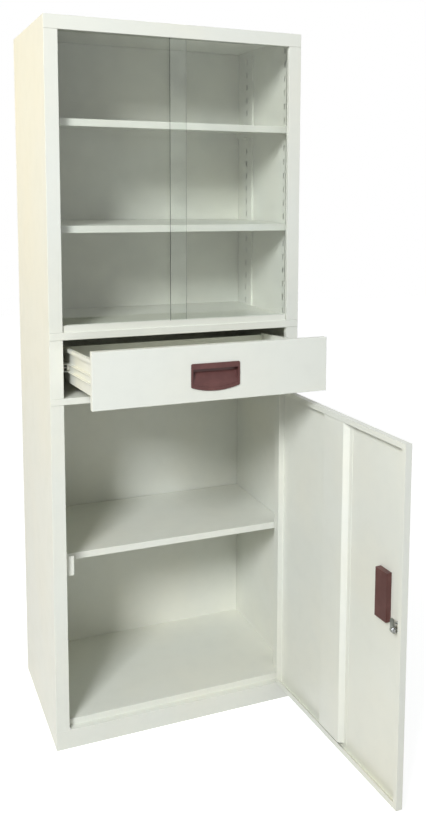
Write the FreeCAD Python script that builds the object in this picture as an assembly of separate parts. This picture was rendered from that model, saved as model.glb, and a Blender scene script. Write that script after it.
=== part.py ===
import FreeCAD, Part
import math
import os

# Steel medicine cabinet: sliding glass doors above, one drawer, one hinged door below.
# Millimetres, +X to the right, +Y to the back, +Z up, origin on the floor under its centre.

# Body
width = 600.0
depth = 400.0
height = 1650.0
sheet = 1.0
bend_radius = 0.8
sheet_share = 0.9
seam = 0.3

# Front posts, the fold at the rear edge of each side and the folds of the back
post_width = 30.0
post_fold = 14.0
rear_fold = 15.0
back_fold = 11.0

# Bands across the front, from the floor up
plinth_height = 45.0
door_opening = 765.0
divider_band = 15.0
drawer_opening = 130.0
floor_band = 17.0
header_band = 30.0
band_lip = 16.0
header_lip = 4.0
lid_fold = 15.0

# Floor of the lower cupboard, the step behind the door and the foot of the plinth
step_height = 15.0
step_clearance = 3.5
step_gap = 3.0
plinth_foot = 20.0

# Slotted uprights of the glass section
upright_width = 50.0
upright_depth = 4.5
upright_setback = 65.0
slot_inset = 15.0
slot_pitch = 33.5
slot_start = 13.5
slot_width = 9.0
slot_height = 14.0

# Shelves
shelf_fold = 16.0
shelf_lip = 8.0
shelf_gap = 1.5
glass_shelf_front = 42.0
shelf_back_gap = 4.0
glass_bays = 3
lower_shelf_rise = 381.0
lower_shelf_front = 66.0

# Clips in the slots and brackets under the lower shelf
clip_width = 16.0
clip_plate = 1.6
clip_reach = 11.0
clip_drop = 12.0
clip_rise = 1.0
tongue_play = 0.5
tongue_lift = 3.2
hook_drop = 5.0
slot_clearance = 0.3
bracket_width = 20.0
bracket_height = 30.0
bracket_seat = 14.0
bracket_plate = 1.6
bracket_inset = 25.0

# Sliding glass
glass_thickness = 5.0
glass_overlap = 41.0
glass_edge_gap = 2.0
glass_arris = 0.5
groove_width = 7.0
groove_land = 2.0
track_setback = 5.0
track_height = 14.0
track_end_gap = 2.0
glass_engagement = 10.0
glide_length = 30.0
glide_height = 9.0
glide_floor = 1.5
glide_inset = 30.0
glide_side_play = 0.3
glide_lift = 0.2
glide_grip_play = 0.1

# Hinged door
door_thickness = 15.0
door_bottom_gap = 2.0
door_top_gap = 4.0
door_fold = 12.0
door_open_angle = 92.5
stiffener_crown = 84.0
stiffener_slope = 8.0
stiffener_flange = 12.0
stiffener_depth = 12.5
stiffener_end_gap = 1.0
stiffener_offset = 9.0
stiffener_bend = 3.0
jamb_depth = 62.0
jamb_flange = 15.0
jamb_edge_gap = 0.5

# Knuckle hinges of the door: a leaf on the post, a leaf on the door and a pin
hinge_height = 60.0
hinge_inset = 60.0
hinge_leaf = 1.2
hinge_leaf_gap = 0.4
hinge_leaf_depth = 12.0
hinge_knuckles = 3
knuckle_radius = 3.5
knuckle_gap = 0.3
knuckle_end_gap = 0.3
pin_radius = 1.75
pin_head_radius = 2.6
pin_head = 1.0
running_clearance = 0.05

# Recessed pulls of the drawer and the door
pull_length = 108.0
pull_side = 50.0
pull_bow = 9.0
pull_proud = 2.5
pull_corner = 3.0
pull_depth = 13.0
pull_cup_length = 104.0
pull_cup_height = 41.0
pull_wall = 2.0
pull_grip = 11.5
pull_grip_thickness = 3.5
pull_slot = 8.0
pull_rim = 2.5
pull_border = 7.0
pull_heel = 1.0
pull_fit = 0.5
pull_back_gap = 2.0
drawer_pull_drop = 38.0
door_pull_lift = 50.0
pull_lock_gap = 18.0

# Cam lock and its keeper
lock_inset = 26.0
lock_rise = 375.0
lock_head_radius = 11.0
lock_head = 2.5
lock_barrel_radius = 9.0
lock_barrel_length = 16.0
lock_plug_radius = 6.0
lock_plug_proud = 0.6
keyway_width = 1.4
keyway_height = 7.0
keyway_depth = 3.0
lock_nut_sides = 6
lock_nut_flats = 22.0
lock_nut_height = 5.0
cam_length = 24.0
cam_width = 13.0
cam_plate = 2.0
cam_gap = 0.5
screw_radius = 2.0
screw_head_radius = 4.0
screw_head = 2.5
screw_fit = 0.1
cam_screw_depth = 8.0
keeper_plate = 1.5
keeper_gap = 0.5
keeper_height = 45.0
keeper_drop = 13.0

# Drawer
drawer_reserve = 49.0
drawer_side_gap = 10.0
drawer_bottom_gap = 7.0
drawer_top_gap = 4.0
drawer_front_fold = 24.0
runner_space = 20.0
tray_rear_gap = 56.0
tray_floor_gap = 6.4
tray_height = 78.5
tray_flange = 7.0
tray_lip = 8.0
drawer_back_drop = 4.0
drawer_back_tab = 10.0
tray_screw_inset = 9.0

# Drawer runners, rollers and the brackets that carry them; the runners fall to the rear
runner_slope = 4.0
runner_sheet = 1.2
runner_height = 18.0
runner_lift = 27.0
runner_flange = 6.6
runner_front_gap = 8.0
runner_play = 0.6
cabinet_runner_setback = 18.0
cabinet_runner_rear_gap = 40.0
roller_play = 0.3
roller_width = 5.0
roller_gap = 0.8
axle_radius = 2.0
roller_stop_gap = 5.0
front_roller_inset = 10.0
rear_roller_inset = 9.5
runner_bracket_width = 22.0
runner_bracket_plate = 1.6
runner_bracket_foot = 16.0
runner_bracket_inset = 40.0

# Places worked out from the sizes above
front = -depth / 2
back = depth / 2
half = width / 2
wall_face = half - sheet
opening_half = half - post_width
back_face = back - sheet - back_fold
lid_under = height - sheet
divider_bottom = plinth_height + door_opening
drawer_floor = divider_bottom + divider_band
drawer_roof = drawer_floor + drawer_opening
upper_floor = drawer_roof + floor_band
header_bottom = height - header_band
floor_height = plinth_height + step_height
step_depth = door_thickness + step_clearance
lower_shelf_top = floor_height + lower_shelf_rise
fold_radius = min(bend_radius, sheet_share * sheet)
bands = ((0.0, plinth_height), (divider_bottom, drawer_floor),
         (drawer_roof, upper_floor), (header_bottom, height))
door_side_gap = 2 * hinge_leaf + hinge_leaf_gap
door_half = opening_half - door_side_gap
door_bottom = plinth_height + door_bottom_gap
door_top = divider_bottom - door_top_gap
door_back = front + door_thickness
pivot_x = door_half + door_side_gap / 2
pivot_y = front - knuckle_gap - knuckle_radius
lock_x = -door_half + lock_inset
lock_height = door_bottom + lock_rise
door_pull_x = lock_x + lock_head_radius + pull_lock_gap + pull_side / 2
door_pull_height = lock_height + door_pull_lift
keeper_front = door_back + keeper_gap
cam_front = keeper_front + keeper_plate + cam_gap
tray_half = opening_half - runner_space
drawer_half = opening_half - drawer_side_gap
drawer_bottom = drawer_floor + drawer_bottom_gap
drawer_top = drawer_roof - drawer_top_gap
tray_front = front + pull_depth + pull_back_gap
tray_back = back_face - tray_rear_gap
slope = math.radians(runner_slope)
tray_bottom = drawer_floor + tray_floor_gap + (tray_back - tray_front) * math.sin(slope)
tray_top = tray_bottom + tray_height
runner_bottom = tray_bottom + runner_lift
runner_axis = runner_bottom + runner_height / 2
roller_radius = runner_height / 2 - runner_sheet - roller_play
drawer_runner_edge = tray_half + runner_sheet + runner_flange
cabinet_runner_edge = drawer_runner_edge + runner_play
cabinet_runner_web = cabinet_runner_edge + runner_flange
cabinet_runner_front = front + cabinet_runner_setback
cabinet_runner_back = back_face - cabinet_runner_rear_gap
front_axle_y = cabinet_runner_front + front_roller_inset
rear_axle_y = tray_back - rear_roller_inset
drawer_travel = rear_axle_y - front_axle_y - roller_radius - axle_radius - roller_stop_gap
drawer_open = drawer_travel - drawer_reserve
drawer_out = drawer_open * math.cos(slope)
drawer_rise = drawer_open * math.sin(slope)
track_front = front + track_setback
front_groove = track_front + sheet
rear_groove = front_groove + groove_width + groove_land
track_back = rear_groove + groove_width + sheet
front_glass_y = front_groove + groove_width / 2
rear_glass_y = rear_groove + groove_width / 2
glide_bottom = upper_floor + sheet + glide_lift
glass_bottom = glide_bottom + glide_floor
glass_top = header_bottom + glass_engagement
glass_outer = opening_half - glass_edge_gap
glass_inner = -glass_overlap / 2
upright_face = wall_face - upright_depth
clip_face = upright_face - seam
upright_top = lid_under - lid_fold - seam
slot_count = int((upright_top - upper_floor - slot_start - slot_height / 2 - sheet) // slot_pitch) + 1
middle_shelf_slot = slot_count // glass_bays
upper_shelf_slot = 2 * slot_count // glass_bays


def vec(x, y, z):
    return FreeCAD.Vector(x, y, z)


def box(x0, x1, y0, y1, z0, z1):
    return Part.makeBox(x1 - x0, y1 - y0, z1 - z0, vec(x0, y0, z0))


def rod_x(x0, x1, y, z, radius):
    return Part.makeCylinder(radius, x1 - x0, vec(x0, y, z), vec(1, 0, 0))


def rod_y(x, y0, y1, z, radius):
    return Part.makeCylinder(radius, y1 - y0, vec(x, y0, z), vec(0, 1, 0))


def rod_z(x, y, z0, z1, radius):
    return Part.makeCylinder(radius, z1 - z0, vec(x, y, z0), vec(0, 0, 1))


def join(*shapes):
    return shapes[0].multiFuse(list(shapes[1:])).removeSplitter()


def mirrored(shape):
    return shape.mirror(vec(0, 0, 0), vec(1, 0, 0))


def edges_at(shape, **place):
    # straight edges whose two ends both lie at the given coordinates
    found = []
    for edge in shape.Edges:
        ends = [vertex.Point for vertex in edge.Vertexes]
        if len(ends) == 2 and all(abs(getattr(end, axis) - value) < 1e-4
                                  for end in ends for axis, value in place.items()):
            found.append(edge)
    return found


def softened(shape, *places):
    # rounds the outside of the folds that run along the given lines
    edges = []
    for place in places:
        edges.extend(edges_at(shape, **place))
    return shape.makeFillet(fold_radius, edges)


def prism(points, direction):
    return Part.Face(Part.makePolygon(points + points[:1])).extrude(direction)


def swung(shape):
    # from the closed door to the open one
    turned = shape.copy()
    turned.rotate(vec(pivot_x, pivot_y, 0), vec(0, 0, 1), door_open_angle)
    return turned


def sloped(shape):
    # tips what runs level from front to rear onto the fall of the runners
    tipped = shape.copy()
    tipped.rotate(vec(0, tray_front, tray_bottom), vec(1, 0, 0), -runner_slope)
    return tipped


def drawn(shape):
    # from the closed drawer to the pulled one, along the runners
    moved = shape.copy()
    moved.translate(vec(0, -drawer_out, drawer_rise))
    return moved


# Body panels


def side_panel():
    # left side: wall, three post faces between the bands and the fold at the rear
    wall = box(-half, -wall_face, front, back, 0, lid_under)
    for low, high in bands:
        wall = wall.cut(box(-half, -wall_face, front, front + sheet + seam, low - seam, high + seam))
    pieces = [wall]
    for (_, low), (high, _) in zip(bands, bands[1:]):
        z0, z1 = low + seam, high - seam
        pieces.append(box(-wall_face, -opening_half, front, front + sheet, z0, z1))
        pieces.append(box(-opening_half - sheet, -opening_half, front + sheet, front + post_fold, z0, z1))
    pieces.append(box(-wall_face, -half + rear_fold, back - sheet, back, 0, lid_under))
    panel = join(*pieces)
    return softened(panel, dict(x=-half, y=front), dict(x=-opening_half, y=front), dict(x=-half, y=back))


def back_panel():
    edge = wall_face - seam
    bottom, top = sheet + seam, lid_under - seam
    rear = back - sheet
    face = box(-edge, edge, back_face, back_face + sheet, bottom, top)
    left = box(-edge, -edge + sheet, back_face + sheet, rear, bottom, top)
    low = box(-edge, edge, back_face + sheet, rear, bottom, bottom + sheet)
    high = box(-edge, edge, back_face + sheet, rear, top - sheet, top)
    return join(face, left, mirrored(left), low, high)


def top_panel():
    lid = box(-half, half, front, back, lid_under, height)
    band = box(-half, half, front, front + sheet, header_bottom, lid_under)
    lip = box(-opening_half, opening_half, front + sheet, front + header_lip,
              header_bottom, header_bottom + sheet)
    fold = box(-wall_face, -wall_face + sheet, front + post_fold, back_face,
               lid_under - lid_fold, lid_under)
    panel = join(lid, band, lip, fold, mirrored(fold))
    return softened(panel, dict(y=front, z=height), dict(y=front, z=header_bottom),
                    dict(x=-half, y=front), dict(x=half, y=front),
                    dict(x=-half, z=height), dict(x=half, z=height))


def cross_panel(bottom, top):
    # deck between the side walls with a band that runs across both posts
    deck = box(-wall_face, wall_face, front + sheet, back_face, top - sheet, top)
    band = box(-half, half, front, front + sheet, bottom, top)
    lip = box(-wall_face, wall_face, front + sheet, front + band_lip, bottom, bottom + sheet)
    fold = box(-wall_face, -wall_face + sheet, front + band_lip, back_face, bottom, top - sheet)
    panel = join(deck, band, lip, fold, mirrored(fold))
    return softened(panel, dict(y=front, z=top), dict(y=front, z=bottom),
                    dict(x=-half, y=front), dict(x=half, y=front))


def drawer_divider_panel():
    return cross_panel(divider_bottom, drawer_floor)


def upper_floor_panel():
    return cross_panel(drawer_roof, upper_floor)


def bottom_panel():
    # cupboard floor with the step that the door shuts in front of
    riser = front + step_depth
    step_half = opening_half - step_gap
    deck = box(-wall_face, wall_face, riser, back_face, floor_height - sheet, floor_height)
    step = box(-step_half, step_half, riser, riser + sheet, plinth_height, floor_height - sheet)
    fold = box(-wall_face, -wall_face + sheet, riser + sheet, back_face,
               plinth_height, floor_height - sheet)
    rear = box(-wall_face, wall_face, back_face - sheet, back_face, plinth_height, floor_height - sheet)
    panel = join(deck, step, fold, mirrored(fold), rear)
    return softened(panel, dict(y=riser, z=floor_height))


def plinth():
    # ring of rails under the cupboard, whose ledge carries the step
    step_half = opening_half - step_gap
    ledge_back = front + step_depth + sheet
    inner = front + sheet
    band = box(-half, half, front, inner, 0, plinth_height)
    ledge = box(-step_half, step_half, inner, ledge_back, plinth_height - sheet, plinth_height)
    rail = box(-wall_face, -wall_face + sheet, inner, back_face, 0, plinth_height)
    rear = box(-wall_face, wall_face, back_face - sheet, back_face, 0, plinth_height)
    foot = box(-wall_face, wall_face, inner, back_face, 0, sheet)
    foot = foot.cut(box(-wall_face + plinth_foot, wall_face - plinth_foot,
                        inner + plinth_foot, back_face - plinth_foot, 0, sheet))
    panel = join(band, ledge, rail, mirrored(rail), rear, foot)
    return softened(panel, dict(y=front, z=plinth_height), dict(x=-half, y=front), dict(x=half, y=front))


def hinge_jamb():
    # closes the right post behind the hinges, from the cupboard floor to the divider
    lap = opening_half + sheet
    rear = front + jamb_depth
    z0, z1 = floor_height, divider_bottom - seam
    face = box(lap, lap + sheet, front + sheet + jamb_edge_gap, rear, z0, z1)
    web = box(lap + sheet, wall_face, rear - sheet, rear, z0, z1)
    flange = box(wall_face - sheet, wall_face, rear, rear + jamb_flange, z0, z1)
    return join(face, web, flange)


# Glass section


def upright(y0, slot_y):
    # left upright with its column of slots
    z0, z1 = upper_floor, upright_top
    face = box(-upright_face - sheet, -upright_face, y0, y0 + upright_width, z0, z1)
    near = box(-wall_face, -upright_face - sheet, y0, y0 + sheet, z0, z1)
    far = box(-wall_face, -upright_face - sheet, y0 + upright_width - sheet, y0 + upright_width, z0, z1)
    channel = join(face, near, far)
    slots = [box(-upright_face - sheet, -upright_face, slot_y - slot_width / 2, slot_y + slot_width / 2,
                 slot_level(i) - slot_height / 2, slot_level(i) + slot_height / 2) for i in range(slot_count)]
    return channel.cut(slots)


def slot_level(index):
    return upper_floor + slot_start + index * slot_pitch


def front_slot_y():
    return front + upright_setback + slot_inset


def front_upright():
    return upright(front + upright_setback, front_slot_y())


def rear_upright():
    return upright(back - upright_setback - upright_width, -front_slot_y())


def shelf(top, y0, y1, end):
    # pan with a fold all round and a turned lip along the front
    bottom = top - shelf_fold
    deck = box(-end, end, y0, y1, top - sheet, top)
    fore = box(-end, end, y0, y0 + sheet, bottom, top - sheet)
    rear = box(-end, end, y1 - sheet, y1, bottom, top - sheet)
    side = box(-end, -end + sheet, y0 + sheet, y1 - sheet, bottom, top - sheet)
    lip = box(-end, end, y0 + sheet, y0 + sheet + shelf_lip, bottom, bottom + sheet)
    pan = join(deck, fore, rear, side, mirrored(side), lip)
    return softened(pan, dict(y=y0, z=top), dict(y=y0, z=bottom))


def glass_shelf_top(slot):
    return slot_level(slot) + clip_rise + shelf_fold


def glass_shelf(slot):
    return shelf(glass_shelf_top(slot), front + glass_shelf_front, back_face - shelf_back_gap,
                 upright_face - shelf_gap)


def shelf_clips(slot):
    # a seat, a plate against the upright and a tongue that hooks down behind the slot
    level = slot_level(slot)
    seat_top = level + clip_rise
    tongue_top = level + slot_height / 2 - slot_clearance
    tongue_bottom = level - slot_height / 2 + tongue_lift
    tongue_half = slot_width / 2 - tongue_play
    inner = upright_face + sheet + slot_clearance
    clips = []
    for y in (front_slot_y(), -front_slot_y()):
        y0, y1 = y - clip_width / 2, y + clip_width / 2
        t0, t1 = y - tongue_half, y + tongue_half
        seat = box(clip_face - clip_reach, clip_face, y0, y1, seat_top - clip_plate, seat_top)
        plate = box(clip_face - clip_plate, clip_face, y0, y1, seat_top - clip_drop, seat_top)
        tongue = box(clip_face - clip_plate, inner + clip_plate, t0, t1, tongue_bottom, tongue_top)
        tongue = tongue.cut(box(clip_face - clip_plate, clip_face, t0, t1, seat_top, tongue_top))
        hook = box(inner, inner + clip_plate, t0, t1, tongue_bottom - hook_drop, tongue_bottom)
        clip = join(seat, plate, tongue, hook)
        clips.extend([clip, mirrored(clip)])
    return Part.Compound(clips)


def lower_shelf():
    return shelf(lower_shelf_top, front + lower_shelf_front, back_face - shelf_back_gap,
                 wall_face - shelf_gap)


def lower_shelf_brackets():
    seat_top = lower_shelf_top - shelf_fold
    ends = (front + lower_shelf_front + bracket_inset, back_face - shelf_back_gap - bracket_inset)
    brackets = []
    for y in ends:
        y0, y1 = y - bracket_width / 2, y + bracket_width / 2
        plate = box(wall_face - bracket_plate, wall_face, y0, y1, seat_top - bracket_height, seat_top)
        seat = box(wall_face - bracket_seat, wall_face, y0, y1, seat_top - bracket_plate, seat_top)
        bracket = join(plate, seat)
        brackets.extend([bracket, mirrored(bracket)])
    return Part.Compound(brackets)


def track(base0, base1, leg0, leg1):
    # double channel for the two panes
    end = opening_half - track_end_gap
    base = box(-end, end, track_front, track_back, base0, base1)
    fore = box(-end, end, track_front, front_groove, leg0, leg1)
    land = box(-end, end, front_groove + groove_width, rear_groove, leg0, leg1)
    rear = box(-end, end, rear_groove + groove_width, track_back, leg0, leg1)
    return join(base, fore, land, rear)


def bottom_glass_track():
    return track(upper_floor, upper_floor + sheet, upper_floor + sheet, upper_floor + track_height)


def top_glass_track():
    return track(lid_under - sheet, lid_under, header_bottom, lid_under - sheet)


def glass_pane(y):
    # right-hand pane in the groove whose middle is at y
    y0, y1 = y - glass_thickness / 2, y + glass_thickness / 2
    pane = box(glass_inner, glass_outer, y0, y1, glass_bottom, glass_top)
    return pane.makeChamfer(glass_arris, pane.Edges)


def glass_glides(y):
    # two shoes on the bottom edge of the right-hand pane
    across = groove_width / 2 - glide_side_play
    grip = glass_thickness / 2 + glide_grip_play
    shoes = []
    for x0 in (glass_inner + glide_inset, glass_outer - glide_inset - glide_length):
        shoe = box(x0, x0 + glide_length, y - across, y + across, glide_bottom, glide_bottom + glide_height)
        channel = box(x0, x0 + glide_length, y - grip, y + grip, glass_bottom, glide_bottom + glide_height)
        shoes.append(shoe.cut(channel))
    return Part.Compound(shoes)


# Recessed pull


def pull():
    # in the plane y = 0 of the sheet it sits in, long side along X, grip at the top
    reach = pull_length / 2
    top = pull_side / 2
    plate = pull_outline(reach, top, -top, -top - pull_bow, -pull_proud, 0)
    corners = [edge for x in (-reach, reach) for z in (-top, top) for edge in edges_at(plate, x=x, z=z)]
    plate = plate.makeFillet(pull_corner, corners)
    cup_top = top - pull_rim
    cup = box(-pull_cup_length / 2, pull_cup_length / 2, 0, pull_depth, cup_top - pull_cup_height, cup_top)
    return join(plate, cup).cut(pull_recess(reach, top, cup_top))


def pull_outline(reach, top, side, bow, y0, y1):
    # straight top and sides, bowed foot
    edges = [
        Part.makeLine(vec(-reach, y0, side), vec(-reach, y0, top)),
        Part.makeLine(vec(-reach, y0, top), vec(reach, y0, top)),
        Part.makeLine(vec(reach, y0, top), vec(reach, y0, side)),
        Part.Arc(vec(reach, y0, side), vec(0, y0, bow), vec(-reach, y0, side)).toShape(),
    ]
    return Part.Face(Part.Wire(edges)).extrude(vec(0, y1 - y0, 0))


def pull_recess(reach, top, cup_top):
    # finger space behind the grip, with a floor that rises to a shallow panel at the bowed foot
    inside = pull_cup_length / 2 - pull_wall
    floor = pull_depth - pull_wall
    roof = cup_top - pull_wall
    grip_edge = top - pull_grip
    grip_back = -pull_proud + pull_grip_thickness
    foot = -top - pull_bow + pull_border
    heel = -pull_proud + pull_heel
    bow_radius = (reach ** 2 + pull_bow ** 2) / (2 * pull_bow)
    inner_radius = bow_radius - pull_border
    side = foot + inner_radius - math.sqrt(inner_radius ** 2 - inside ** 2)
    outside = -2 * pull_proud
    profile = [
        vec(-inside, outside, foot),
        vec(-inside, heel, foot),
        vec(-inside, heel, cup_top - pull_cup_height),
        vec(-inside, floor, grip_edge - pull_slot),
        vec(-inside, floor, roof),
        vec(-inside, grip_back, roof),
        vec(-inside, grip_back, grip_edge),
        vec(-inside, outside, grip_edge),
    ]
    return prism(profile, vec(2 * inside, 0, 0)).common(
        pull_outline(inside, roof, side, foot, outside, floor))


def pull_hole(x, z, along, across):
    return box(x - along, x + along, front, front + sheet, z - across, z + across)


def pull_middle():
    # how far the cup's middle lies above the pull's own middle
    return pull_side / 2 - pull_rim - pull_cup_height / 2


# Hinged door


def door_panel():
    # pan with a wall all round, folded in along the free edge, the top and the bottom
    skin = box(-door_half, door_half, front, front + sheet, door_bottom, door_top)
    inner = door_back - sheet
    free = box(-door_half, -door_half + sheet, front + sheet, door_back, door_bottom, door_top)
    hinge = mirrored(free)
    low = box(-door_half, door_half, front + sheet, door_back, door_bottom, door_bottom + sheet)
    high = box(-door_half, door_half, front + sheet, door_back, door_top - sheet, door_top)
    folds = [
        box(-door_half, -door_half + door_fold, inner, door_back, door_bottom, door_top),
        box(-door_half, door_half, inner, door_back, door_bottom, door_bottom + door_fold),
        box(-door_half, door_half, inner, door_back, door_top - door_fold, door_top),
    ]
    panel = join(skin, free, hinge, low, high, *folds)
    panel = softened(panel, dict(x=-door_half, y=front), dict(x=door_half, y=front),
                     dict(y=front, z=door_bottom), dict(y=front, z=door_top))
    across = pull_cup_height / 2 + pull_fit
    along = pull_cup_length / 2 + pull_fit
    panel = panel.cut([
        rod_y(lock_x, front, front + sheet, lock_height, lock_barrel_radius + screw_fit),
        pull_hole(door_pull_x - pull_middle(), door_pull_height, across, along),
    ])
    return swung(panel)


def door_stiffener():
    # hat channel a little to the hinge side of the door's middle, open at both ends
    foot = front + sheet
    crown = foot + stiffener_depth
    a = stiffener_crown / 2
    b = a + stiffener_slope
    c = b + stiffener_flange
    z0 = door_bottom + door_fold + stiffener_end_gap
    z1 = door_top - door_fold - stiffener_end_gap
    outline = [
        vec(-c, foot, z0), vec(-b + sheet, foot, z0), vec(-a + sheet, crown - sheet, z0),
        vec(a - sheet, crown - sheet, z0), vec(b - sheet, foot, z0), vec(c, foot, z0),
        vec(c, foot + sheet, z0), vec(b, foot + sheet, z0), vec(a, crown, z0),
        vec(-a, crown, z0), vec(-b, foot + sheet, z0), vec(-c, foot + sheet, z0),
    ]
    hat = prism(outline, vec(0, 0, z1 - z0))
    for x, y, radius in ((a, crown, stiffener_bend), (a - sheet, crown - sheet, stiffener_bend - sheet)):
        hat = hat.makeFillet(radius, edges_at(hat, x=-x, y=y) + edges_at(hat, x=x, y=y))
    hat.translate(vec(stiffener_offset, 0, 0))
    return swung(hat)


def door_pull():
    # the same pull stood on end, its grip towards the free edge
    turned = pull()
    turned.rotate(vec(0, 0, 0), vec(0, 1, 0), -90)
    turned.translate(vec(door_pull_x, front, door_pull_height))
    return swung(turned)


def hinge_bottoms():
    return door_bottom + hinge_inset, door_top - hinge_inset - hinge_height


def hinge_leaves(x0, x1, first):
    # plate between door and post, rolled round the pin at every second knuckle from the first
    pitch = hinge_height / hinge_knuckles
    leaves = []
    for z0 in hinge_bottoms():
        z1 = z0 + hinge_height
        pieces = [box(x0, x1, front, front + hinge_leaf_depth, z0, z1)]
        for i in range(first, hinge_knuckles, 2):
            k0 = z0 + i * pitch + knuckle_end_gap / 2
            k1 = z0 + (i + 1) * pitch - knuckle_end_gap / 2
            pieces.append(box(x0, x1, pivot_y, front, k0, k1))
            pieces.append(rod_z(pivot_x, pivot_y, k0, k1, knuckle_radius))
        bore = rod_z(pivot_x, pivot_y, z0, z1, pin_radius + running_clearance)
        leaves.append(join(*pieces).cut(bore))
    return Part.Compound(leaves)


def hinge_post_leaves():
    return hinge_leaves(opening_half - hinge_leaf, opening_half, 0)


def hinge_door_leaves():
    return swung(hinge_leaves(door_half, door_half + hinge_leaf, 1))


def hinge_pins():
    # headed at both ends, over the outer knuckles
    pins = []
    for bottom in hinge_bottoms():
        z0 = bottom + knuckle_end_gap / 2
        z1 = bottom + hinge_height - knuckle_end_gap / 2
        pins.append(join(rod_z(pivot_x, pivot_y, z0 - pin_head, z1 + pin_head, pin_radius),
                         rod_z(pivot_x, pivot_y, z0 - pin_head, z0, pin_head_radius),
                         rod_z(pivot_x, pivot_y, z1, z1 + pin_head, pin_head_radius)))
    return Part.Compound(pins)


# Cam lock


def lock_barrel():
    barrel = join(rod_y(lock_x, front - lock_head, front, lock_height, lock_head_radius),
                  rod_y(lock_x, front, front + lock_barrel_length, lock_height, lock_barrel_radius))
    bore = rod_y(lock_x, front - lock_head, front + lock_barrel_length, lock_height,
                 lock_plug_radius + running_clearance)
    return swung(barrel.cut(bore))


def lock_nut():
    corner = lock_nut_flats / 2 / math.cos(math.pi / lock_nut_sides)
    y0 = front + sheet
    turns = [math.tau * i / lock_nut_sides for i in range(lock_nut_sides)]
    outline = [vec(lock_x + corner * math.cos(turn), y0, lock_height + corner * math.sin(turn))
               for turn in turns]
    nut = prism(outline, vec(0, lock_nut_height, 0))
    thread = rod_y(lock_x, y0, y0 + lock_nut_height, lock_height, lock_barrel_radius + screw_fit)
    return swung(nut.cut(thread))


def lock_plug():
    nose = front - lock_head - lock_plug_proud
    plug = rod_y(lock_x, nose, cam_front, lock_height, lock_plug_radius)
    keyway = box(lock_x - keyway_width / 2, lock_x + keyway_width / 2, nose, nose + keyway_depth,
                 lock_height - keyway_height / 2, lock_height + keyway_height / 2)
    thread = rod_y(lock_x, cam_front - cam_screw_depth, cam_front, lock_height, screw_radius + screw_fit)
    return swung(plug.cut([keyway, thread]))


def lock_cam():
    # stands up when the lock is open
    y0, y1 = cam_front, cam_front + cam_plate
    high = lock_height + cam_length - cam_width / 2
    arm = box(lock_x - cam_width / 2, lock_x + cam_width / 2, y0, y1, lock_height, high)
    cam = join(arm, rod_y(lock_x, y0, y1, lock_height, cam_width / 2),
               rod_y(lock_x, y0, y1, high, cam_width / 2))
    return swung(cam.cut(rod_y(lock_x, y0, y1, lock_height, screw_radius + screw_fit)))


def lock_cam_screw():
    y0 = cam_front + cam_plate
    tip = cam_front - cam_screw_depth + screw_fit
    return swung(join(rod_y(lock_x, tip, y0, lock_height, screw_radius),
                      rod_y(lock_x, y0, y0 + screw_head, lock_height, screw_head_radius)))


def lock_keeper():
    # plate on the left post that the cam turns behind
    outer = -opening_half - sheet
    z0 = lock_height - keeper_drop
    z1 = z0 + keeper_height
    rear = keeper_front + keeper_plate
    edge = lock_x - lock_barrel_radius - keeper_gap
    leg = box(outer - keeper_plate, outer, front + sheet + jamb_edge_gap, rear, z0, z1)
    plate = box(outer - keeper_plate, edge, keeper_front, rear, z0, z1)
    return join(leg, plate)


# Drawer


def tray_screw_places():
    x = tray_half - sheet - tray_screw_inset
    for z in (tray_bottom + tray_screw_inset, tray_top - tray_screw_inset):
        yield -x, z
        yield x, z


def drawer_front():
    skin = box(-drawer_half, drawer_half, front, front + sheet, drawer_bottom, drawer_top)
    left = box(-drawer_half, -drawer_half + sheet, front + sheet, tray_front, drawer_bottom, drawer_top)
    low = box(-drawer_half, drawer_half, front + sheet, tray_front, drawer_bottom, drawer_bottom + sheet)
    high = box(-drawer_half, drawer_half, front + sheet, tray_front, drawer_top - sheet, drawer_top)
    fold = box(-drawer_half, -drawer_half + sheet + drawer_front_fold, tray_front - sheet, tray_front,
               drawer_bottom, drawer_top)
    panel = join(skin, left, mirrored(left), low, high, fold, mirrored(fold))
    panel = softened(panel, dict(x=-drawer_half, y=front), dict(x=drawer_half, y=front),
                     dict(y=front, z=drawer_bottom), dict(y=front, z=drawer_top))
    along = pull_cup_length / 2 + pull_fit
    across = pull_cup_height / 2 + pull_fit
    holes = [pull_hole(0, drawer_pull_z() + pull_middle(), along, across)]
    for x, z in tray_screw_places():
        holes.append(rod_y(x, tray_front - sheet, tray_front, z, screw_radius + screw_fit))
    return drawn(panel.cut(holes))


def drawer_pull_z():
    return drawer_top - drawer_pull_drop - pull_side / 2


def drawer_pull():
    placed = pull()
    placed.translate(vec(0, front, drawer_pull_z()))
    return drawn(placed)


def drawer_tray():
    # bottom and flanged sides on the fall of the runners, cut upright against the front wall
    start = tray_front - tray_height * math.tan(slope)
    rim = -tray_half - tray_flange
    bottom = box(-tray_half, tray_half, start, tray_back, tray_bottom, tray_bottom + sheet)
    side = box(-tray_half, -tray_half + sheet, start, tray_back, tray_bottom, tray_top)
    flange = box(rim, -tray_half, start, tray_back, tray_top - sheet, tray_top)
    lip = box(rim, rim + sheet, start, tray_back, tray_top - tray_lip, tray_top - sheet)
    left = join(side, flange, lip)
    pan = sloped(join(bottom, left, mirrored(left)))
    ahead = box(-opening_half, opening_half, front, tray_front, drawer_floor, drawer_roof)
    fore = box(-tray_half, tray_half, tray_front, tray_front + sheet, tray_bottom, tray_top)
    holes = [rod_y(x, tray_front, tray_front + sheet, z, screw_radius + screw_fit)
             for x, z in tray_screw_places()]
    return drawn(join(pan.cut(ahead), fore).cut(holes))


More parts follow.
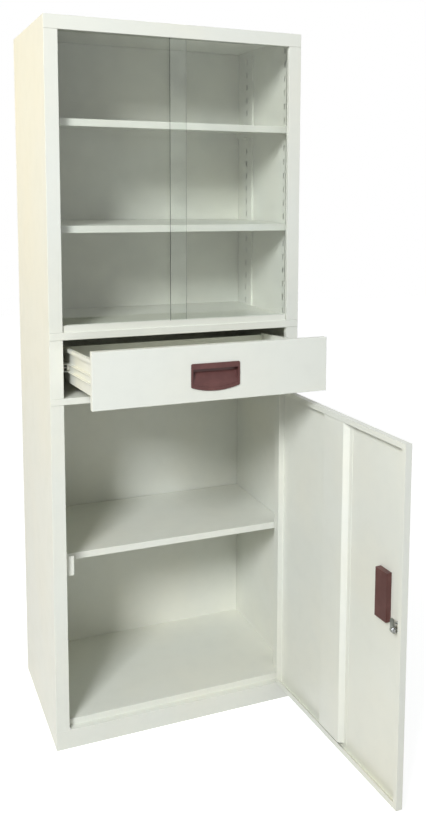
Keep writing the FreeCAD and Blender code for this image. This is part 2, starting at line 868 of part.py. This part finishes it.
def drawer_back():
    edge = tray_half - sheet - seam
    z0, z1 = tray_bottom + sheet, tray_top - drawer_back_drop
    plate = box(-edge, edge, tray_back - sheet, tray_back, z0, z1)
    tab = box(-edge, -edge + sheet, tray_back - drawer_back_tab, tray_back - sheet, z0, z1)
    return drawn(sloped(join(plate, tab, mirrored(tab))))


def drawer_front_screws():
    y0 = tray_front + sheet
    tip = tray_front - sheet - screw_head
    screws = [join(rod_y(x, tip, y0, z, screw_radius), rod_y(x, y0, y0 + screw_head, z, screw_head_radius))
              for x, z in tray_screw_places()]
    return drawn(Part.Compound(screws))


# Runners


def drawer_runner():
    # left channel on the drawer, open outwards, over the front roller
    y0, y1 = tray_front + runner_front_gap, tray_back
    z0, z1 = runner_bottom, runner_bottom + runner_height
    web = box(-tray_half - runner_sheet, -tray_half, y0, y1, z0, z1)
    low = box(-drawer_runner_edge, -tray_half, y0, y1, z0, z0 + runner_sheet)
    high = box(-drawer_runner_edge, -tray_half, y0, y1, z1 - runner_sheet, z1)
    hole = rod_x(-tray_half - runner_sheet, -tray_half, rear_axle_y, runner_axis,
                 axle_radius + running_clearance)
    return drawn(sloped(join(web, low, high).cut(hole)))


def cabinet_runner():
    # left channel in the cabinet, open inwards, for the rear roller
    y0, y1 = cabinet_runner_front, cabinet_runner_back
    z0, z1 = runner_bottom, runner_bottom + runner_height
    outer = cabinet_runner_web + runner_sheet
    web = box(-outer, -cabinet_runner_web, y0, y1, z0, z1)
    low = box(-cabinet_runner_web, -cabinet_runner_edge, y0, y1, z0, z0 + runner_sheet)
    high = box(-cabinet_runner_web, -cabinet_runner_edge, y0, y1, z1 - runner_sheet, z1)
    hole = rod_x(-outer, -cabinet_runner_web, front_axle_y, runner_axis,
                 axle_radius + running_clearance)
    return sloped(join(web, low, high).cut(hole))


def runner_brackets():
    # two hats that carry the left cabinet runner off the side wall
    outer = cabinet_runner_web + runner_sheet
    z0, z1 = runner_bottom, runner_bottom + runner_height
    brackets = []
    for y in (cabinet_runner_front + runner_bracket_inset, cabinet_runner_back - runner_bracket_inset):
        y0, y1 = y - runner_bracket_width / 2, y + runner_bracket_width / 2
        pad = box(-outer - runner_bracket_plate, -outer, y0, y1, z0, z1)
        arm = box(-wall_face, -outer, y0, y1, z0 - runner_bracket_plate, z0)
        foot = box(-wall_face, -wall_face + runner_bracket_plate, y0, y1,
                   z0 - runner_bracket_foot, z0 - runner_bracket_plate)
        brackets.append(sloped(join(pad, arm, foot)))
    return Part.Compound(brackets)


def front_roller():
    # turns on the cabinet runner, inside the drawer runner
    x1 = -tray_half - runner_sheet - roller_gap
    return roller(x1 - roller_width, x1, front_axle_y)


def rear_roller():
    # turns on the drawer runner, inside the cabinet runner
    x1 = -cabinet_runner_edge - roller_gap
    return drawn(roller(x1 - roller_width, x1, rear_axle_y))


def roller(x0, x1, y):
    bore = rod_x(x0, x1, y, runner_axis, axle_radius + running_clearance)
    return sloped(rod_x(x0, x1, y, runner_axis, roller_radius).cut(bore))


def front_roller_axle():
    inner = -tray_half - runner_sheet - roller_gap + seam
    return sloped(rod_x(-cabinet_runner_web - runner_sheet, inner, front_axle_y, runner_axis, axle_radius))


def rear_roller_axle():
    outer = -cabinet_runner_edge - roller_gap - roller_width
    return drawn(sloped(rod_x(outer - seam, -tray_half, rear_axle_y, runner_axis, axle_radius)))


# Every sub-part under its own name

parts = {
    "left_side_panel": side_panel(),
    "right_side_panel": mirrored(side_panel()),
    "back_panel": back_panel(),
    "top_panel": top_panel(),
    "upper_floor_panel": upper_floor_panel(),
    "drawer_divider_panel": drawer_divider_panel(),
    "bottom_panel": bottom_panel(),
    "plinth": plinth(),
    "hinge_jamb": hinge_jamb(),
    "left_front_upright": front_upright(),
    "left_rear_upright": rear_upright(),
    "right_front_upright": mirrored(front_upright()),
    "right_rear_upright": mirrored(rear_upright()),
    "upper_shelf": glass_shelf(upper_shelf_slot),
    "middle_shelf": glass_shelf(middle_shelf_slot),
    "lower_shelf": lower_shelf(),
    "upper_shelf_clips": shelf_clips(upper_shelf_slot),
    "middle_shelf_clips": shelf_clips(middle_shelf_slot),
    "lower_shelf_brackets": lower_shelf_brackets(),
    "top_glass_track": top_glass_track(),
    "bottom_glass_track": bottom_glass_track(),
    "left_glass_pane": mirrored(glass_pane(rear_glass_y)),
    "left_glass_glides": mirrored(glass_glides(rear_glass_y)),
    "right_glass_pane": glass_pane(front_glass_y),
    "right_glass_glides": glass_glides(front_glass_y),
    "drawer_front": drawer_front(),
    "drawer_tray": drawer_tray(),
    "drawer_back": drawer_back(),
    "drawer_pull": drawer_pull(),
    "drawer_front_screws": drawer_front_screws(),
    "left_drawer_runner": drawer_runner(),
    "right_drawer_runner": mirrored(drawer_runner()),
    "left_cabinet_runner": cabinet_runner(),
    "right_cabinet_runner": mirrored(cabinet_runner()),
    "left_runner_brackets": runner_brackets(),
    "right_runner_brackets": mirrored(runner_brackets()),
    "left_front_roller": front_roller(),
    "right_front_roller": mirrored(front_roller()),
    "left_rear_roller": rear_roller(),
    "right_rear_roller": mirrored(rear_roller()),
    "front_roller_axles": Part.Compound([front_roller_axle(), mirrored(front_roller_axle())]),
    "rear_roller_axles": Part.Compound([rear_roller_axle(), mirrored(rear_roller_axle())]),
    "door_panel": door_panel(),
    "door_stiffener": door_stiffener(),
    "door_pull": door_pull(),
    "hinge_post_leaves": hinge_post_leaves(),
    "hinge_door_leaves": hinge_door_leaves(),
    "hinge_pins": hinge_pins(),
    "lock_barrel": lock_barrel(),
    "lock_nut": lock_nut(),
    "lock_plug": lock_plug(),
    "lock_cam": lock_cam(),
    "lock_cam_screw": lock_cam_screw(),
    "lock_keeper": lock_keeper(),
}

os.makedirs("parts", exist_ok=True)
for name, shape in parts.items():
    shape.exportStep(os.path.join("parts", name + ".step"))
    state = "valid" if shape.isValid() else "broken"
    print(name, len(shape.Solids), "solids", round(shape.Volume), "mm3", state)
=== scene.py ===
import math
import bpy
import bmesh
from mathutils import Matrix, Vector

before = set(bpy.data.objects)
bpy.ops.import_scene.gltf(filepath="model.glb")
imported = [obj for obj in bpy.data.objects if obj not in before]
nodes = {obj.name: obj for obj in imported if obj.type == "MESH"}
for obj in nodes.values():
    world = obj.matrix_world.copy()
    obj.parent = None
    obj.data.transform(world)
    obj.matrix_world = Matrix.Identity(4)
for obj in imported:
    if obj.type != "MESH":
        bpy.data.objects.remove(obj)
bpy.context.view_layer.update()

# steel medicine cabinet: glass above, one drawer pulled out, one door swung open below
scene = bpy.context.scene
mmPerMetre = 1000.0
print("frame loaded:", len(nodes), "nodes")


def srgb(code):
    # "#rrggbb" to linear rgba
    parts = [int(code[i:i + 2], 16) / 255 for i in (1, 3, 5)]
    return [c / 12.92 if c <= 0.04045 else ((c + 0.055) / 1.055) ** 2.4 for c in parts] + [1.0]


def perMm(size):
    # texture scale for a pattern this many millimetres across (Object coordinates are metres)
    return mmPerMetre / size


def addNode(tree, kind, links=None, **settings):
    # one node, its settings, and links given as {input: output socket}
    node = tree.nodes.new("ShaderNode" + kind)
    for key, value in settings.items():
        if key in node.inputs:
            node.inputs[key].default_value = value
        else:
            setattr(node, key, value)
    for key, socket in (links or {}).items():
        tree.links.new(socket, node.inputs[key])
    return node


def newMaterial(name):
    material = bpy.data.materials.new(name)
    material.use_nodes = True
    material.node_tree.nodes.clear()
    return material, material.node_tree


def wear(material, names):
    # gives the named pieces this one material
    for name in names:
        slots = nodes[name].data.materials
        slots.clear()
        slots.append(material)


# powder-coated sheet steel, ivory: baked polyester powder, satin, a faint orange peel that
# breaks up highlights, and slow drifts of tone where the coat lies thicker
# (a span is the two noise levels between which a tone changes, here and in the other looks)
coatLook = {
    "base": "#e4e6dd", "warm": "#e6e6da", "driftMm": 260.0, "driftSpan": (0.38, 0.68),
    "grey": "#dbddd4", "cloudMm": 45.0, "cloudSpan": (0.45, 0.8), "cloudShare": 0.35,  # greyer from handling
    "peelMm": 3.0, "peelDepthMm": 0.4, "peelBump": 0.05,  # real peel is 1 mm across, drawn coarser to show
    "roughness": 0.38, "roughSpread": 0.12, "ior": 1.5,
}
mixSocket = {"a": 6, "b": 7, "out": 2}  # colour sockets of a Mix node, whose names aren't unique


def powderCoat(name, look):
    material, tree = newMaterial(name)
    place = addNode(tree, "TexCoord").outputs["Object"]
    drift = addNode(tree, "TexNoise", {"Vector": place}, Scale=perMm(look["driftMm"]), Detail=2.0)
    cloud = addNode(tree, "TexNoise", {"Vector": place}, Scale=perMm(look["cloudMm"]),
                    Detail=5.0, Roughness=0.6)
    peel = addNode(tree, "TexNoise", {"Vector": place}, Scale=perMm(look["peelMm"]), Detail=2.0)
    warmth = addNode(tree, "ValToRGB", {"Fac": drift.outputs["Fac"]})
    for stop, level, shade in zip(warmth.color_ramp.elements, look["driftSpan"], ("base", "warm")):
        stop.position = level
        stop.color = srgb(look[shade])
    cloudStart, cloudEnd = look["cloudSpan"]
    handled = addNode(tree, "MapRange", {"Value": cloud.outputs["Fac"]},
                      **{"From Min": cloudStart, "From Max": cloudEnd, "To Max": look["cloudShare"]})
    tone = addNode(tree, "Mix", data_type="RGBA")
    tree.links.new(handled.outputs["Result"], tone.inputs["Factor"])
    tree.links.new(warmth.outputs["Color"], tone.inputs[mixSocket["a"]])
    tone.inputs[mixSocket["b"]].default_value = srgb(look["grey"])
    gloss = addNode(tree, "MapRange", {"Value": cloud.outputs["Fac"]},
                    **{"To Min": look["roughness"] - look["roughSpread"] / 2,
                       "To Max": look["roughness"] + look["roughSpread"] / 2})
    relief = addNode(tree, "Bump", {"Height": peel.outputs["Fac"]}, Strength=look["peelBump"],
                     Distance=look["peelDepthMm"] / mmPerMetre)
    coat = addNode(tree, "BsdfPrincipled", {"Base Color": tone.outputs[mixSocket["out"]],
                                            "Roughness": gloss.outputs["Result"],
                                            "Normal": relief.outputs["Normal"]}, IOR=look["ior"])
    addNode(tree, "OutputMaterial", {"Surface": coat.outputs["BSDF"]})
    return material


ivoryCoat = powderCoat("powder_coated_steel_ivory", coatLook)
wear(ivoryCoat, ["left_side_panel", "right_side_panel", "back_panel", "top_panel", "upper_floor_panel",
                 "drawer_divider_panel", "bottom_panel", "plinth", "hinge_jamb", "left_front_upright",
                 "left_rear_upright", "right_front_upright", "right_rear_upright", "upper_shelf",
                 "middle_shelf", "lower_shelf", "top_glass_track", "bottom_glass_track", "drawer_front",
                 "drawer_tray", "drawer_back", "left_drawer_runner", "right_drawer_runner",
                 "left_cabinet_runner", "right_cabinet_runner", "door_panel", "door_stiffener", "lock_keeper",
                 "lower_shelf_brackets", "upper_shelf_clips", "middle_shelf_clips"])
print("sheet steel coated")


# moulded ABS, maroon: fine spark grain in the mould leaves a soft, slightly uneven sheen
pullLook = {
    "base": "#522c29", "worn": "#613834", "rubMm": 22.0, "rubSpan": (0.4, 0.75),
    "grainMm": 1.6, "grainDepthMm": 0.3, "bump": 0.18,  # real spark grain is finer, drawn coarser to show
    "roughness": 0.42, "roughSpread": 0.16, "ior": 1.53,
}


def mouldedPlastic(name, look):
    material, tree = newMaterial(name)
    place = addNode(tree, "TexCoord").outputs["Object"]
    grain = addNode(tree, "TexNoise", {"Vector": place}, Scale=perMm(look["grainMm"]), Detail=3.0)
    rub = addNode(tree, "TexNoise", {"Vector": place}, Scale=perMm(look["rubMm"]), Detail=4.0)
    tone = addNode(tree, "ValToRGB", {"Fac": rub.outputs["Fac"]})
    for stop, level, shade in zip(tone.color_ramp.elements, look["rubSpan"], ("base", "worn")):
        stop.position = level
        stop.color = srgb(look[shade])
    gloss = addNode(tree, "MapRange", {"Value": rub.outputs["Fac"]},
                    **{"To Min": look["roughness"] + look["roughSpread"] / 2,  # rubbed spots are smoother
                       "To Max": look["roughness"] - look["roughSpread"] / 2})
    relief = addNode(tree, "Bump", {"Height": grain.outputs["Fac"]}, Strength=look["bump"],
                     Distance=look["grainDepthMm"] / mmPerMetre)
    skin = addNode(tree, "BsdfPrincipled", {"Base Color": tone.outputs["Color"],
                                            "Roughness": gloss.outputs["Result"],
                                            "Normal": relief.outputs["Normal"]}, IOR=look["ior"])
    addNode(tree, "OutputMaterial", {"Surface": skin.outputs["BSDF"]})
    return material


maroonAbs = mouldedPlastic("moulded_abs_maroon", pullLook)
wear(maroonAbs, ["drawer_pull", "door_pull"])

# moulded nylon, natural white: waxy, a little uneven
nylonLook = {
    "base": "#dedcd0", "worn": "#cfccbe", "rubMm": 9.0, "rubSpan": (0.4, 0.75),
    "grainMm": 1.2, "grainDepthMm": 0.3, "bump": 0.08,
    "roughness": 0.5, "roughSpread": 0.16, "ior": 1.53,
}
naturalNylon = mouldedPlastic("moulded_nylon_white", nylonLook)
wear(naturalNylon, ["left_glass_glides", "right_glass_glides", "left_front_roller", "right_front_roller",
                    "left_rear_roller", "right_rear_roller"])
print("plastics moulded")


# float glass: clear, with the green of iron in the melt and a faint film left by wiping
glassLook = {"tint": "#f8faf8", "film": "#eef0ee", "smearMm": 120.0, "smearSpan": (0.4, 0.75),
             "shade": "#fbfcfb", "ior": 1.5}


def floatGlass(name, look):
    material, tree = newMaterial(name)
    place = addNode(tree, "TexCoord").outputs["Object"]
    smear = addNode(tree, "TexNoise", {"Vector": place}, Scale=perMm(look["smearMm"]), Detail=3.0)
    film = addNode(tree, "ValToRGB", {"Fac": smear.outputs["Fac"]})
    for stop, level, shade in zip(film.color_ramp.elements, look["smearSpan"], ("tint", "film")):
        stop.position = level
        stop.color = srgb(look[shade])
    pane = addNode(tree, "BsdfPrincipled", {"Base Color": film.outputs["Color"]},
                   IOR=look["ior"], Roughness=0.0, **{"Transmission Weight": 1.0})
    through = addNode(tree, "BsdfTransparent", Color=srgb(look["shade"]))
    path = addNode(tree, "LightPath").outputs
    # light on its way to the shelves goes straight through, as lamp light and as bounced light
    lamplit = addNode(tree, "MixShader", {0: path["Is Shadow Ray"], 1: pane.outputs["BSDF"],
                                          2: through.outputs["BSDF"]})
    lit = addNode(tree, "MixShader", {0: path["Is Diffuse Ray"], 1: lamplit.outputs["Shader"],
                                      2: through.outputs["BSDF"]})
    addNode(tree, "OutputMaterial", {"Surface": lit.outputs["Shader"]})
    return material


clearPane = floatGlass("float_glass_clear", glassLook)
wear(clearPane, ["left_glass_pane", "right_glass_pane"])
print("glass set")


# plated steel: chrome is bright and even, zinc is greyer with the spangle of its passivation
chromeLook = {"dull": "#b4b5b5", "base": "#cfd0d0", "markMm": 8.0, "markSpan": (0.35, 0.65),
              "smoothest": 0.08, "roughest": 0.2}
zincLook = {"dull": "#9a9d9d", "base": "#b9bbbb", "markMm": 6.0, "markSpan": (0.35, 0.65),
            "smoothest": 0.28, "roughest": 0.48}


def platedSteel(name, look):
    material, tree = newMaterial(name)
    place = addNode(tree, "TexCoord").outputs["Object"]
    marks = addNode(tree, "TexNoise", {"Vector": place}, Scale=perMm(look["markMm"]), Detail=4.0)
    tone = addNode(tree, "ValToRGB", {"Fac": marks.outputs["Fac"]})
    for stop, level, shade in zip(tone.color_ramp.elements, look["markSpan"], ("dull", "base")):
        stop.position = level
        stop.color = srgb(look[shade])
    gloss = addNode(tree, "MapRange", {"Value": marks.outputs["Fac"]},
                    **{"To Min": look["smoothest"], "To Max": look["roughest"]})
    plate = addNode(tree, "BsdfPrincipled", {"Base Color": tone.outputs["Color"],
                                             "Roughness": gloss.outputs["Result"]}, Metallic=1.0)
    addNode(tree, "OutputMaterial", {"Surface": plate.outputs["BSDF"]})
    return material


brightChrome = platedSteel("chrome_plated_steel", chromeLook)
wear(brightChrome, ["lock_barrel", "lock_plug", "lock_cam", "lock_nut", "lock_cam_screw"])
dullZinc = platedSteel("zinc_plated_steel", zincLook)
wear(dullZinc, ["drawer_front_screws", "left_runner_brackets", "right_runner_brackets", "front_roller_axles",
                "rear_roller_axles", "hinge_post_leaves", "hinge_door_leaves", "hinge_pins"])
print("fittings plated")


def seenWhite(tree):
    # 1 for rays from the camera, straight or through gloss and glass, and 0 for rays that light the cabinet
    path = addNode(tree, "LightPath").outputs
    bent = addNode(tree, "Math", {0: path["Is Glossy Ray"], 1: path["Is Transmission Ray"]},
                   operation="MAXIMUM")
    unscattered = addNode(tree, "Math", {0: path["Diffuse Depth"]}, operation="LESS_THAN")
    unscattered.inputs[1].default_value = 0.5  # the depth counts whole bounces, so this is none
    direct = addNode(tree, "Math", {0: bent.outputs["Value"], 1: unscattered.outputs["Value"]},
                     operation="MULTIPLY")
    seen = addNode(tree, "Math", {0: path["Is Camera Ray"], 1: direct.outputs["Value"]}, operation="MAXIMUM")
    return seen.outputs["Value"]


# pale floor: white to the eye, and still takes a soft shadow
floorLook = {"size": 14.0, "tone": "#c4c4c2", "lift": 0.8}
sheetFloor = bpy.data.meshes.new("floor")
build = bmesh.new()
bmesh.ops.create_grid(build, x_segments=1, y_segments=1, size=floorLook["size"] / 2)
build.to_mesh(sheetFloor)
build.free()
floor = bpy.data.objects.new("floor", sheetFloor)
scene.collection.objects.link(floor)
paleFloor, floorTree = newMaterial("matt_floor_white")
matt = addNode(floorTree, "BsdfDiffuse", Color=srgb(floorLook["tone"]))
seen = addNode(floorTree, "Math", {0: seenWhite(floorTree)}, operation="MULTIPLY")
seen.inputs[1].default_value = floorLook["lift"]
lift = addNode(floorTree, "Emission", {"Strength": seen.outputs["Value"]})
both = addNode(floorTree, "AddShader", {0: matt.outputs["BSDF"], 1: lift.outputs["Emission"]})
addNode(floorTree, "OutputMaterial", {"Surface": both.outputs["Shader"]})
sheetFloor.materials.append(paleFloor)
print("floor laid")


# studio light: a high soft key in front, a small warm lamp behind on the left, and a soft room tone
keyLook = {"place": (-2.6, -3.5, 3.15), "aim": (0.0, -0.2, 0.8), "size": 1.2, "power": 205.0,
           "colour": "#fafcff"}
warmLook = {"place": (-1.2, 0.3, 1.6), "aim": (0.0, -0.2, 0.8), "size": 0.5, "power": 4.2,
            "colour": "#ffdc62"}
roomLook = {"wall": "#eeece4", "wallStrength": 0.13, "ceiling": "#f2f6fa", "ceilingStrength": 0.55}


def softLamp(name, look):
    lamp = bpy.data.lights.new(name, "AREA")
    lamp.shape = "SQUARE"
    lamp.size = look["size"]
    lamp.energy = look["power"]
    lamp.color = srgb(look["colour"])[:3]
    holder = bpy.data.objects.new(name, lamp)
    holder.location = look["place"]
    holder.visible_transmission = False  # glass already lets its light through as shadow
    beam = Vector(look["aim"]) - Vector(look["place"])
    holder.rotation_euler = beam.to_track_quat("-Z", "Y").to_euler()
    scene.collection.objects.link(holder)


softLamp("keyLamp", keyLook)
softLamp("warmLamp", warmLook)
world = bpy.data.worlds.new("studio")
scene.world = world
world.use_nodes = True
sky = world.node_tree
sky.nodes.clear()
upward = addNode(sky, "SeparateXYZ", {0: addNode(sky, "TexCoord").outputs["Generated"]})
overhead = addNode(sky, "MapRange", {"Value": upward.outputs["Z"]})  # 0 at eye level, 1 straight up
walls = addNode(sky, "Background", Color=srgb(roomLook["wall"]), Strength=roomLook["wallStrength"])
ceiling = addNode(sky, "Background", Color=srgb(roomLook["ceiling"]), Strength=roomLook["ceilingStrength"])
room = addNode(sky, "MixShader", {0: overhead.outputs["Result"], 1: walls.outputs["Background"],
                                  2: ceiling.outputs["Background"]})
white = addNode(sky, "Background", Color=srgb("#ffffff"), Strength=1.0)
shown = addNode(sky, "MixShader", {0: seenWhite(sky), 1: room.outputs["Shader"],
                                   2: white.outputs["Background"]})
addNode(sky, "OutputWorld", {"Surface": shown.outputs["Shader"]})
print("studio lit")


# camera at the photo's viewpoint, fitted to the cabinet's corners; the picture is 426 by 827
viewLook = {"focalPx": 919.669, "centre": (271.894, 294.214), "yaw": 24.123, "pitch": -6.76, "roll": 0.534,
            "place": (-0.665413, -2.200272, 1.297071), "wide": 426, "tall": 827,
            "sensorMm": 36.0, "reach": 50.0}
yaw, pitch, roll = (math.radians(viewLook[turn]) for turn in ("yaw", "pitch", "roll"))
ahead = Vector((math.sin(yaw) * math.cos(pitch), math.cos(yaw) * math.cos(pitch), math.sin(pitch)))
aside = Vector((math.cos(yaw), -math.sin(yaw), 0.0))  # level, before the roll
over = aside.cross(ahead)
right = aside * math.cos(roll) + over * math.sin(roll)
up = over * math.cos(roll) - aside * math.sin(roll)
eye = bpy.data.cameras.new("camera")
eye.sensor_width = viewLook["sensorMm"]
eye.lens = viewLook["focalPx"] / viewLook["tall"] * eye.sensor_width  # the taller side fills the sensor
eye.shift_x = (viewLook["wide"] / 2 - viewLook["centre"][0]) / viewLook["tall"]
eye.shift_y = (viewLook["centre"][1] - viewLook["tall"] / 2) / viewLook["tall"]
eye.clip_end = viewLook["reach"]
camera = bpy.data.objects.new("camera", eye)
turned = Matrix((right, up, -ahead)).transposed().to_4x4()
camera.matrix_world = Matrix.Translation(viewLook["place"]) @ turned
scene.collection.objects.link(camera)
scene.camera = camera
scene.view_settings.view_transform = "Standard"
print("camera placed")
